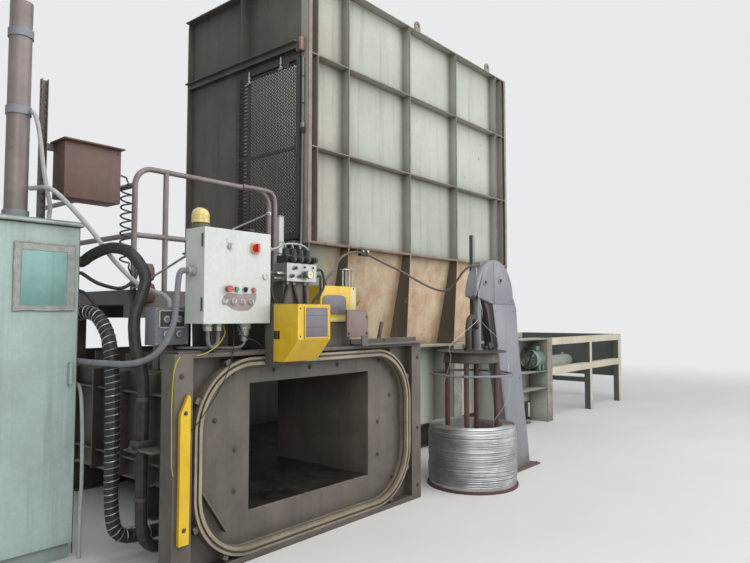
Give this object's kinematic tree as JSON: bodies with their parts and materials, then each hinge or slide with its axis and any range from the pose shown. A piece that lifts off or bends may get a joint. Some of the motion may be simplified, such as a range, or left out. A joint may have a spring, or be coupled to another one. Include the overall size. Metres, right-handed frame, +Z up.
{
  "type": "recycling baler",
  "caption": "Horizontal two-ram recycling baler with a ribbed open hopper, a side-ejecting bale chamber, an automatic wire tier and its controls.",
  "frame": {"origin": "on the ground below the middle of the bale chamber", "axes": "+X from the bale chamber along the machine to the main cylinder, -Y the side where the bale comes out and the tier stands, +Z up"},
  "size_m": [11.365, 6.43, 5.0399],
  "materials": {
    "hopper_paint": "chalky grey-green enamel",
    "dark_green_paint": "dark grey-green enamel",
    "tan_paint": "faded tan enamel with rust",
    "worn_steel": "worn dark paint over steel",
    "wear_plate": "polished by the bales",
    "track_paint": "worn cream enamel",
    "yellow_paint": "bright yellow enamel",
    "light_grey_paint": "light grey powder coat",
    "teal_paint": "worn grey-green enamel",
    "tower_paint": "grey enamel",
    "red_brown_paint": "red-brown primer",
    "rail_paint": "worn grey enamel",
    "bare_steel": "machined",
    "hard_chrome": "ground and plated rod",
    "aluminium": "milled",
    "black_paint": "black enamel",
    "black_rubber": "hose cover",
    "grey_conduit": "flexible conduit",
    "red_plastic": "moulded",
    "green_plastic": "moulded",
    "black_plastic": "moulded",
    "amber_lens": "beacon lens",
    "galvanised_wire": "galvanised wire"
  },
  "bodies": {
    "frame": {"base_skid": "dark_green_paint", "floor_plate": "wear_plate", "chamber_end_wall": "worn_steel", "chamber_roof": "dark_green_paint", "chute_wall": "worn_steel", "front_wall": "hopper_paint", "rear_wall": "hopper_paint", "cylinder_bed": "tan_paint", "ejector_bed": "dark_green_paint", "shear_blade": "bare_steel", "hopper_front_wall": "hopper_paint", "hopper_side_wall": "dark_green_paint", "hopper_rear_wall": "hopper_paint", "hopper_end_wall": "hopper_paint", "transition_front": "tan_paint", "door_rail": "black_paint", "tier_frame": "worn_steel", "face_plate": "worn_steel", "wire_track": "track_paint", "track_clamps": "worn_steel", "edge_guard": "yellow_paint", "tier_head": "worn_steel", "feed_cover": "yellow_paint", "manifold_block": "aluminium", "solenoid_valves": "black_plastic", "pressure_gauge": "bare_steel", "control_box": "light_grey_paint", "beacon": "amber_lens", "station_box": "tower_paint", "cabinet": "teal_paint", "cable_rack": "rail_paint", "operator_platform": "worn_steel", "guard_rail": "rail_paint", "main_cylinder": "hopper_paint", "ejector_cylinder": "hopper_paint", "hydraulic_hoses": "black_rubber", "conduits": "grey_conduit", "wire_stand": "red_brown_paint", "wire_coil": "galvanised_wire", "guide_tower": "tower_paint", "wire_tube": "worn_steel"},
    "main_ram": {"main_ram": "wear_plate", "main_rod": "hard_chrome"},
    "ejector_ram": {"ejector_ram": "wear_plate", "ejector_rod": "hard_chrome"},
    "mesh_door": {"mesh_door": "worn_steel"},
    "head_cover": {"head_cover": "yellow_paint"},
    "control_door": {"control_door": "light_grey_paint"},
    "cabinet_door": {"cabinet_door": "teal_paint"},
    "main_switch": {"main_switch": "red_plastic"},
    "emergency_stop": {"emergency_stop": "red_plastic"},
    "green_button": {"green_button": "green_plastic"},
    "red_button": {"red_button": "red_plastic"},
    "selector_switch": {"selector_switch": "black_plastic"},
    "drive_wheel": {"drive_wheel": "bare_steel"},
    "pinch_wheel": {"pinch_wheel": "bare_steel"},
    "twist_gear": {"twist_gear": "bare_steel"},
    "twist_pinion": {"twist_pinion": "bare_steel"},
    "front_sheave": {"front_sheave": "bare_steel"},
    "rear_sheave": {"rear_sheave": "bare_steel"}
  },
  "joints": [
    {"name": "main_ram_slide", "type": "slide", "parent": "frame", "child": "main_ram", "axis": [-1, 0, 0], "range_m": [0, 3.91]},
    {"name": "ejector_slide", "type": "slide", "parent": "frame", "child": "ejector_ram", "axis": [0, -1, 0], "range_m": [0, 2.595]},
    {"name": "mesh_door_slide", "type": "slide", "parent": "frame", "child": "mesh_door", "axis": [0, 1, 0], "range_m": [0, 0.84]},
    {"name": "head_cover_hinge", "type": "hinge", "parent": "frame", "child": "head_cover", "pos_m": [-0.249, -2.0373, 1.492], "axis": [0, 0, 1], "range_deg": [0, 95]},
    {"name": "control_door_hinge", "type": "hinge", "parent": "frame", "child": "control_door", "pos_m": [-1.094, -2.01, 1.8585], "axis": [0, 0, -1], "range_deg": [0, 110]},
    {"name": "cabinet_door_hinge", "type": "hinge", "parent": "frame", "child": "cabinet_door", "pos_m": [-2.298, -1.01, 1.155], "axis": [0, 0, -1], "range_deg": [0, 110]},
    {"name": "main_switch_turn", "type": "hinge", "parent": "control_door", "child": "main_switch", "pos_m": [-0.701, -2.036, 2.054], "axis": [0, -1, 0], "range_deg": [0, 90]},
    {"name": "emergency_stop_press", "type": "slide", "parent": "control_door", "child": "emergency_stop", "axis": [0, 1, 0], "range_m": [0, 0.006]},
    {"name": "green_button_press", "type": "slide", "parent": "control_door", "child": "green_button", "axis": [0, 1, 0], "range_m": [0, 0.004], "stiffness_N_per_m": 800, "springref_m": -0.001},
    {"name": "red_button_press", "type": "slide", "parent": "control_door", "child": "red_button", "axis": [0, 1, 0], "range_m": [0, 0.004], "stiffness_N_per_m": 800, "springref_m": -0.001},
    {"name": "selector_turn", "type": "hinge", "parent": "control_door", "child": "selector_switch", "pos_m": [-0.779, -2.03, 1.777], "axis": [0, -1, 0], "range_deg": [-25, 65]},
    {"name": "drive_wheel_spin", "type": "hinge", "parent": "frame", "child": "drive_wheel", "pos_m": [0.1485, -1.77, 1.69], "axis": [0, -1, 0], "continuous": true},
    {"name": "pinch_wheel_spin", "type": "hinge", "parent": "frame", "child": "pinch_wheel", "pos_m": [0.2755, -1.77, 1.69], "axis": [0, -1, 0], "continuous": true},
    {"name": "twist_gear_spin", "type": "hinge", "parent": "frame", "child": "twist_gear", "pos_m": [-0.374, -2.057, 1.525], "axis": [0, -1, 0], "continuous": true},
    {"name": "twist_pinion_spin", "type": "hinge", "parent": "frame", "child": "twist_pinion", "pos_m": [-0.374, -2.057, 1.4192], "axis": [0, -1, 0], "continuous": true},
    {"name": "front_sheave_spin", "type": "hinge", "parent": "frame", "child": "front_sheave", "pos_m": [2.071, -2.08, 1.94], "axis": [0, -1, 0], "continuous": true},
    {"name": "rear_sheave_spin", "type": "hinge", "parent": "frame", "child": "rear_sheave", "pos_m": [2.37, -2.08, 1.971], "axis": [0, -1, 0], "continuous": true}
  ],
  "couplings": [
    {"joint": "pinch_wheel_spin", "follows": "drive_wheel_spin", "ratio": -1},
    {"joint": "twist_pinion_spin", "follows": "twist_gear_spin", "ratio": -2.5}
  ]
}
